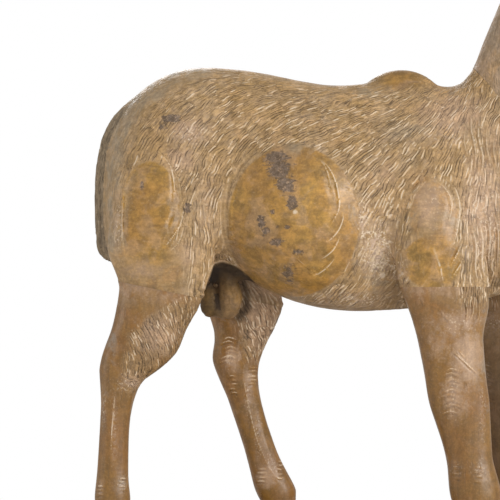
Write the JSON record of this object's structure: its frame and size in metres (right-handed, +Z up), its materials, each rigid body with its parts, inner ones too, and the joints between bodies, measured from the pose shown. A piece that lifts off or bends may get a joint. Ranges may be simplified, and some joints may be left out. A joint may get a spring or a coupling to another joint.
{
  "type": "carved wooden antelope",
  "caption": "Carved wooden antelope in mid-step on a low plinth, its coat cut in short hair strokes around smooth polished ovals on belly, thigh and shoulder.",
  "frame": {"origin": "centre of the plinth's underside", "axes": "+X the way the antelope faces, +Y to its left, +Z up"},
  "size_m": [0.6394, 0.2082, 0.8724],
  "materials": {
    "figure_wood": "carved, waxed and worn",
    "plinth_wood": "dark stained and waxed",
    "horn_wood": "dark stained and waxed"
  },
  "bodies": {
    "root": {"plinth": "plinth_wood", "body": "figure_wood", "near_hind_leg": "figure_wood", "far_hind_leg": "figure_wood", "near_foreleg": "figure_wood", "far_foreleg": "figure_wood", "neck_and_head": "figure_wood", "near_horn": "horn_wood", "far_horn": "horn_wood"}
  },
  "joints": []
}
